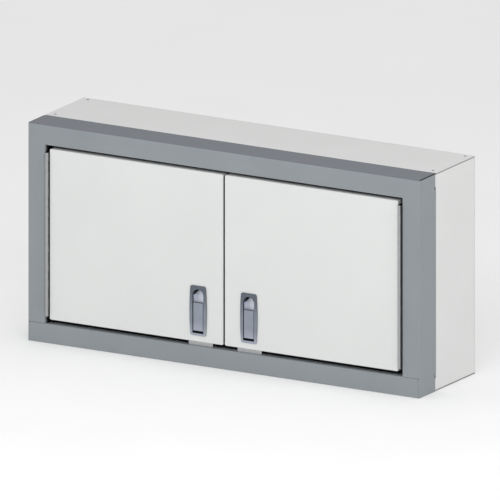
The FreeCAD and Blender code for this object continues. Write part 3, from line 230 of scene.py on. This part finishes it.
def spread(tree, pattern, low_value, high_value):
    """Maps a noise pattern onto a range of values."""
    return remap(tree, pattern, NOISE_LOW, NOISE_HIGH, low_value, high_value)


def fade(tree, value, limits):
    """Mask that rises from 0 at the first limit to 1 at the second, whichever is larger."""
    begins, ends = limits
    if begins < ends:
        return remap(tree, value, begins, ends, 0.0, 1.0, smooth=True)
    return remap(tree, value, ends, begins, 1.0, 0.0, smooth=True)


def compute(tree, operation, *values):
    """Math node on outputs or numbers."""
    node = add(tree, "ShaderNodeMath", operation=operation)
    for socket, value in zip(node.inputs, values):
        if isinstance(value, (int, float)):
            socket.default_value = value
        else:
            tree.links.new(value, socket)
    return node.outputs["Value"]


def mix(tree, factor, under, over):
    """Mix of an output's colour and a fixed colour."""
    node = add(tree, "ShaderNodeMix", data_type="RGBA")
    tree.links.new(factor, node.inputs["Factor"])
    first, second = (socket for socket in node.inputs if socket.type == "RGBA")
    tree.links.new(under, first)
    second.default_value = (*over, 1.0)
    return next(socket for socket in node.outputs if socket.type == "RGBA")


def tint(tree, mask, color):
    """Lays a colour over the shader's base colour where the mask is 1."""
    base = tree.nodes["Principled BSDF"].inputs["Base Color"]
    under = base.links[0].from_socket
    tree.links.new(mix(tree, mask, under, color), base)


def bump(tree, height, distance, under=None):
    """Bump from a height pattern, on top of another bump if one is given."""
    node = add(tree, "ShaderNodeBump")
    node.inputs["Distance"].default_value = distance
    node.inputs["Strength"].default_value = 1.0
    tree.links.new(height, node.inputs["Height"])
    if under is not None:
        tree.links.new(under, node.inputs["Normal"])
    return node.outputs["Normal"]


def shade(color, factor):
    """A colour made lighter or darker."""
    return tuple(min(1.0, channel * factor) for channel in color)


def drifting(tree, pattern, color, drift):
    """A colour that a noise pattern makes a little darker and lighter."""
    stops = [(NOISE_LOW, shade(color, 1 - drift)), (NOISE_HIGH, shade(color, 1 + drift))]
    return ramp(tree, pattern, stops)


# ---------------------------------------------------------------- materials


def powder_coat(name, color, roughness, drift):
    """Baked powder coat: orange peel, faint colour drift and a finely speckled gloss."""
    material, tree, shader = new_material(name)
    where = object_coordinates(tree)
    broad = noise(tree, where, scale=6.0, detail=3.0)
    tree.links.new(drifting(tree, broad, color, drift), shader.inputs["Base Color"])
    fine = noise(tree, where, scale=420.0, detail=3.0, roughness=0.6)
    speckle = spread(tree, fine, roughness - POWDER_SPECKLE, roughness + POWDER_SPECKLE)
    tree.links.new(speckle, shader.inputs["Roughness"])
    peel = bump(tree, noise(tree, where, scale=260.0, detail=1.0), PEEL_DEPTH)
    grit = bump(tree, noise(tree, where, scale=1400.0), GRIT_DEPTH, under=peel)
    tree.links.new(grit, shader.inputs["Normal"])
    shader.inputs["Specular IOR Level"].default_value = 0.3
    return material


def frame_paint():
    """Grey powder coat, with painted shade on the top flange and a painted shadow in the open
    corner gaps.
    """
    material = powder_coat("frame_paint", GREY_PAINT, roughness=0.55, drift=0.03)
    tree = material.node_tree
    # Painted shade darkens the top flange
    tint(tree, fade(tree, coordinate(tree, "Z"), TOP_SHADE_HEIGHT), TOP_SHADE_GREY)
    across = compute(tree, "ABSOLUTE", coordinate(tree, "X"))
    beside = fade(tree, across, CORNER_GAP_SIDE)
    above = fade(tree, coordinate(tree, "Z"), CORNER_GAP_HEIGHT)
    behind = fade(tree, coordinate(tree, "Y"), CORNER_GAP_DEPTH)
    corner = compute(tree, "MULTIPLY", beside, above)
    # Painted shadow in the open corner gaps
    tint(tree, compute(tree, "MULTIPLY", corner, behind), CORNER_GAP_SHADOW)
    return material


def body_paint():
    """White powder coat with painted shade in the seams where the top and bottom panels lap the
    sides.
    """
    material = powder_coat("body_paint", BODY_WHITE, roughness=0.5, drift=0.015)
    tree = material.node_tree
    height = compute(tree, "ABSOLUTE", coordinate(tree, "Z"))
    inner = fade(tree, height, SEAM_INNER_EDGE)
    outer = fade(tree, height, SEAM_OUTER_EDGE)
    # Painted shade in the panel seams
    tint(tree, compute(tree, "MULTIPLY", inner, outer), SEAM_SHADE)
    return material


def brushed_metal(name, color, roughness, stretch):
    """Metal with a drawn or brushed grain, long where the stretch is small."""
    material, tree, shader = new_material(name)
    where = object_coordinates(tree, stretch)
    grain = noise(tree, where, scale=60.0, detail=4.0, roughness=0.65)
    tree.links.new(drifting(tree, grain, color, GRAIN_DRIFT), shader.inputs["Base Color"])
    sheen = spread(tree, grain, roughness - GRAIN_GLOSS, roughness + GRAIN_MATT)
    tree.links.new(sheen, shader.inputs["Roughness"])
    tree.links.new(bump(tree, grain, GRAIN_DEPTH), shader.inputs["Normal"])
    shader.inputs["Metallic"].default_value = 1.0
    return material


def hinge_steel():
    """Satin hinge steel whose leaves carry painted shade behind the front plane."""
    material = brushed_metal("hinge_steel", HINGE_GREY, roughness=0.45, stretch=(8, 8, 0.6))
    tree = material.node_tree
    # Painted shade on the leaves behind the front plane
    tint(tree, fade(tree, coordinate(tree, "Y"), LEAF_DEPTH), LEAF_SHADE)
    return material


def cast_alloy(name, color, roughness):
    """Fine-blasted die casting with a soft sheen."""
    material, tree, shader = new_material(name)
    where = object_coordinates(tree)
    clouds = noise(tree, where, scale=45.0, detail=4.0, roughness=0.6)
    tree.links.new(drifting(tree, clouds, color, CAST_DRIFT), shader.inputs["Base Color"])
    grains = noise(tree, where, scale=1600.0, roughness=0.6)
    sheen = spread(tree, grains, roughness - CAST_SPECKLE, roughness + CAST_SPECKLE)
    tree.links.new(sheen, shader.inputs["Roughness"])
    tree.links.new(bump(tree, grains, BLAST_DEPTH), shader.inputs["Normal"])
    shader.inputs["Metallic"].default_value = 0.65
    return material


def scoop_light_mask(tree, height):
    """Dome-shaped mask of painted light inside each scoop, fading out below its upper edge, which
    keeps the cup's painted shade.
    """
    across = compute(tree, "ABSOLUTE", coordinate(tree, "X"))
    across = compute(tree, "SUBTRACT", across, LATCH_X)
    across = compute(tree, "DIVIDE", across, SCOOP_HALF_WIDTH)
    upward = compute(tree, "SUBTRACT", height, SCOOP_MIDDLE)
    upward = compute(tree, "DIVIDE", upward, SCOOP_HALF_HEIGHT)
    squares = (compute(tree, "POWER", offset, 2.0) for offset in (across, upward))
    return fade(tree, compute(tree, "ADD", *squares), SCOOP_EDGE)


def latch_metal():
    """Cast faceplate with painted shade towards the top and painted light towards the bottom,
    painted shade in the cup and painted light in the scoop.
    """
    material = cast_alloy("latch_metal", ALLOY, roughness=0.45)
    tree = material.node_tree
    height = coordinate(tree, "Z")
    depth = coordinate(tree, "Y")
    # Painted shade towards the top of the faceplate
    tint(tree, fade(tree, height, PLATE_HIGH_PART), ALLOY_TOP_SHADE)
    # Painted light towards the bottom of the faceplate
    tint(tree, fade(tree, height, PLATE_LOW_PART), ALLOY_BOTTOM_LIGHT)
    # Painted shade inside the cup
    tint(tree, fade(tree, depth, CUP_DEPTH), CUP_SHADE)
    inside = fade(tree, depth, SCOOP_DEPTH)
    above_paddle = fade(tree, height, ABOVE_PADDLE)
    scoop = compute(tree, "MULTIPLY", inside, above_paddle)
    # Painted light inside the scoop, dome-shaped
    tint(tree, compute(tree, "MULTIPLY", scoop, scoop_light_mask(tree, height)), SCOOP_PAINTED_LIGHT)
    return material


def paddle_metal():
    """Cast paddle with painted light towards its lower end."""
    material = cast_alloy("paddle_metal", shade(ALLOY, PADDLE_LIGHTNESS), roughness=0.38)
    tree = material.node_tree
    # Painted light towards the paddle's lower end
    tint(tree, fade(tree, coordinate(tree, "Z"), PADDLE_LOW_PART), ALLOY_BOTTOM_LIGHT)
    return material


def rubber(name, color):
    """Dull extruded rubber with a slight bloom."""
    material, tree, shader = new_material(name)
    where = object_coordinates(tree)
    bloom = noise(tree, where, scale=90.0, detail=4.0, roughness=0.7)
    clean, dusty = shade(color, 0.7), shade(color, 1.8)
    tree.links.new(ramp(tree, bloom, [(0.35, clean), (0.75, dusty)]), shader.inputs["Base Color"])
    tree.links.new(spread(tree, bloom, *RUBBER_ROUGHNESS), shader.inputs["Roughness"])
    pores = bump(tree, noise(tree, where, scale=900.0), PORE_DEPTH)
    tree.links.new(pores, shader.inputs["Normal"])
    shader.inputs["Specular IOR Level"].default_value = 0.1
    return material


MATERIALS = {
    "frame_paint": frame_paint(),
    "body_paint": body_paint(),
    "door_paint": powder_coat("door_paint", DOOR_WHITE, roughness=0.45, drift=0.012),
    "hinge_steel": hinge_steel(),
    "zinc_steel": brushed_metal("zinc_steel", ZINC_GREY, roughness=0.5, stretch=(0.8, 6, 6)),
    "rivet_steel": brushed_metal("rivet_steel", RIVET_BLACK, roughness=0.6, stretch=(5, 5, 5)),
    "latch_metal": latch_metal(),
    "paddle_metal": paddle_metal(),
    "rubber": rubber("rubber", RUBBER_BLACK),
}

for node_name, node_object in frame["nodes"].items():
    node_object.data.materials.clear()
    node_object.data.materials.append(MATERIALS[SLOT_OF_NODE[node_name]])

# ---------------------------------------------------------------- latch springs

# Radius of the wire
SPRING_WIRE = 0.00045
SPRING_TURNS = 8
STEPS_PER_TURN = 28
WIRE_SIDES = 10


def coil_mesh(name, low_corner, high_corner):
    """Helix of round wire with closed ends, its axis upright, that fills a box."""
    middle = (low_corner + high_corner) / 2
    radius = (high_corner.y - low_corner.y) / 2 - SPRING_WIRE
    first = low_corner.z + SPRING_WIRE
    rise = high_corner.z - low_corner.z - 2 * SPRING_WIRE
    steps = SPRING_TURNS * STEPS_PER_TURN
    vertices = []
    for step in range(steps + 1):
        turn = 2 * math.pi * step / STEPS_PER_TURN
        outward = Vector((math.cos(turn), math.sin(turn), 0))
        on_axis = Vector((middle.x, middle.y, first + rise * step / steps))
        for side in range(WIRE_SIDES):
            angle = 2 * math.pi * side / WIRE_SIDES
            reach = radius + SPRING_WIRE * math.cos(angle)
            lift = Vector((0, 0, SPRING_WIRE * math.sin(angle)))
            vertices.append(on_axis + outward * reach + lift)
    start_cap = tuple(range(WIRE_SIDES))
    end_cap = tuple(reversed(range(steps * WIRE_SIDES, len(vertices))))
    faces = [start_cap, end_cap]
    for step in range(steps):
        here = step * WIRE_SIDES
        ahead = here + WIRE_SIDES
        for side in range(WIRE_SIDES):
            beside = (side + 1) % WIRE_SIDES
            faces.append((here + side, ahead + side, ahead + beside, here + beside))
    mesh = bpy.data.meshes.new(name)
    mesh.from_pydata([tuple(vertex) for vertex in vertices], [], faces)
    mesh.polygons.foreach_set("use_smooth", [len(face) == 4 for face in faces])
    return mesh


def build_spring(side):
    """Coil spring of one latch, carried by its door."""
    node = f"latch_{side}_spring"
    corners = [Vector(corner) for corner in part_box(node)]
    spring = bpy.data.objects.new(f"{node}_coil", coil_mesh(f"{node}_coil", *corners))
    bpy.context.collection.objects.link(spring)
    spring.data.materials.append(MATERIALS[SLOT_OF_NODE[node]])
    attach(spring, f"door_{side}")
    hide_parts(node)
    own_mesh(spring)


for latch_side in ("left", "right"):
    build_spring(latch_side)

# ---------------------------------------------------------------- stage

FLOOR_REACH = 30.0
FLOOR_PAINT = 0.86
FLOOR_MOTTLE = 0.01
FLOOR_GLOW = 0.14
WORLD_STRENGTH = 0.74
HORIZON_WHITE = (1.0, 1.0, 1.0)
ZENITH_WHITE = (0.95, 0.95, 0.95)

# Name, place, width and height, power in watts
LIGHTS = (
    ("key", (1.2, -2.6, 2.2), (2.2, 1.6), 28.0),
    ("fill", (-2.4, -2.2, 1.2), (1.8, 1.8), 10.0),
    ("side", (3.2, -0.6, 1.0), (1.8, 1.8), 10.0),
)

VIEW_AZIMUTH = math.radians(30.0)
VIEW_ELEVATION = math.radians(15.0)
VIEW_WIDTH = 1.3503
VIEW_DISTANCE = 20.0
VIEW_SHIFT_LEFT = 0.0040
VIEW_SHIFT_DOWN = 0.0053


def floor_material():
    """Plain pale studio floor with a very faint mottle and a faint glow."""
    material, tree, shader = new_material("studio_floor")
    pattern = noise(tree, object_coordinates(tree), scale=3.0)
    darkest = FLOOR_PAINT * (1 - FLOOR_MOTTLE)
    lightest = FLOOR_PAINT * (1 + FLOOR_MOTTLE)
    tree.links.new(spread(tree, pattern, darkest, lightest), shader.inputs["Base Color"])
    shader.inputs["Emission Color"].default_value = (1.0, 1.0, 1.0, 1.0)
    shader.inputs["Emission Strength"].default_value = FLOOR_GLOW
    shader.inputs["Roughness"].default_value = 0.9
    shader.inputs["Specular IOR Level"].default_value = 0.1
    return material


def build_floor():
    """Large flat floor level with the cabinet's underside."""
    mesh = bpy.data.meshes.new("studio_floor")
    signs = ((-1, -1), (1, -1), (1, 1), (-1, 1))
    corners = [(x * FLOOR_REACH, y * FLOOR_REACH, BOTTOM) for x, y in signs]
    mesh.from_pydata(corners, [], [(0, 1, 2, 3)])
    floor = bpy.data.objects.new("studio_floor", mesh)
    mesh.materials.append(floor_material())
    bpy.context.collection.objects.link(floor)


def build_world():
    """Soft white surround, slightly dimmer overhead than at the horizon."""
    world = bpy.data.worlds.new("studio")
    world.use_nodes = True
    bpy.context.scene.world = world
    tree = world.node_tree
    where = add(tree, "ShaderNodeTexCoord")
    split = add(tree, "ShaderNodeSeparateXYZ")
    tree.links.new(where.outputs["Generated"], split.inputs["Vector"])
    sky = ramp(tree, split.outputs["Z"], [(0.0, HORIZON_WHITE), (1.0, ZENITH_WHITE)])
    background = tree.nodes["Background"]
    tree.links.new(sky, background.inputs["Color"])
    background.inputs["Strength"].default_value = WORLD_STRENGTH


def area_light(name, place, size, power):
    """Rectangular soft light aimed at the cabinet."""
    data = bpy.data.lights.new(name, "AREA")
    data.shape = "RECTANGLE"
    data.size, data.size_y = size
    data.energy = power
    light = bpy.data.objects.new(name, data)
    light.location = place
    light.rotation_euler = (centre - Vector(place)).to_track_quat("-Z", "Y").to_euler()
    bpy.context.collection.objects.link(light)


def build_camera():
    """Parallel view from the right and above."""
    back = Vector((
        math.sin(VIEW_AZIMUTH) * math.cos(VIEW_ELEVATION),
        -math.cos(VIEW_AZIMUTH) * math.cos(VIEW_ELEVATION),
        math.sin(VIEW_ELEVATION),
    ))
    right = Vector((math.cos(VIEW_AZIMUTH), math.sin(VIEW_AZIMUTH), 0))
    up = back.cross(right)
    data = bpy.data.cameras.new("camera")
    data.type = "ORTHO"
    data.ortho_scale = VIEW_WIDTH
    data.clip_start = 1.0
    data.clip_end = 4 * VIEW_DISTANCE
    target = Vector((0, FRONT / 2, 0)) - right * VIEW_SHIFT_LEFT - up * VIEW_SHIFT_DOWN
    camera = bpy.data.objects.new("camera", data)
    camera.location = target + back * VIEW_DISTANCE
    camera.rotation_euler = (target - camera.location).to_track_quat("-Z", "Y").to_euler()
    bpy.context.collection.objects.link(camera)
    bpy.context.scene.camera = camera


build_floor()
build_world()
for light_settings in LIGHTS:
    area_light(*light_settings)
build_camera()
bpy.context.scene.view_settings.view_transform = "Standard"
